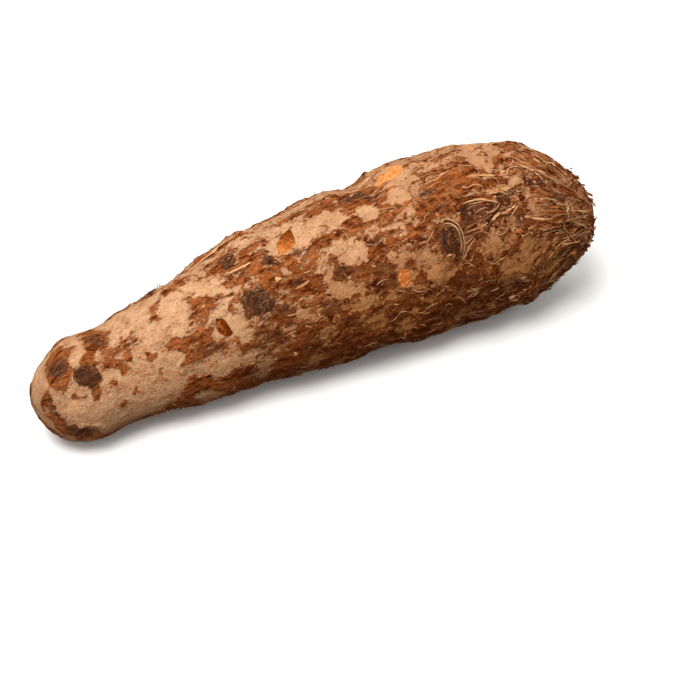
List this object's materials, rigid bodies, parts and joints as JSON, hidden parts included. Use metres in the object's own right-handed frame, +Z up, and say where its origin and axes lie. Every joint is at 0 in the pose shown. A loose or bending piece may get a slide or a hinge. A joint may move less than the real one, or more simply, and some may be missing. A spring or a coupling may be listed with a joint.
{
  "type": "malanga root",
  "caption": "Whole malanga root lying on its side: a knobbed small end, a slight neck and a thick club with husk strands running together at the crown.",
  "frame": {"origin": "under the middle of the root, on the surface that it lies on", "axes": "+X along the root towards its thick crown end, +Z up, -Y the side that the root's ends bend to"},
  "size_m": [0.2048, 0.0629, 0.0599],
  "materials": {
    "husk": "matte pale cork under flaking brown papery husk, straw-coloured fibres at the crown"
  },
  "bodies": {
    "root": {"malanga_root": "husk"}
  },
  "joints": []
}
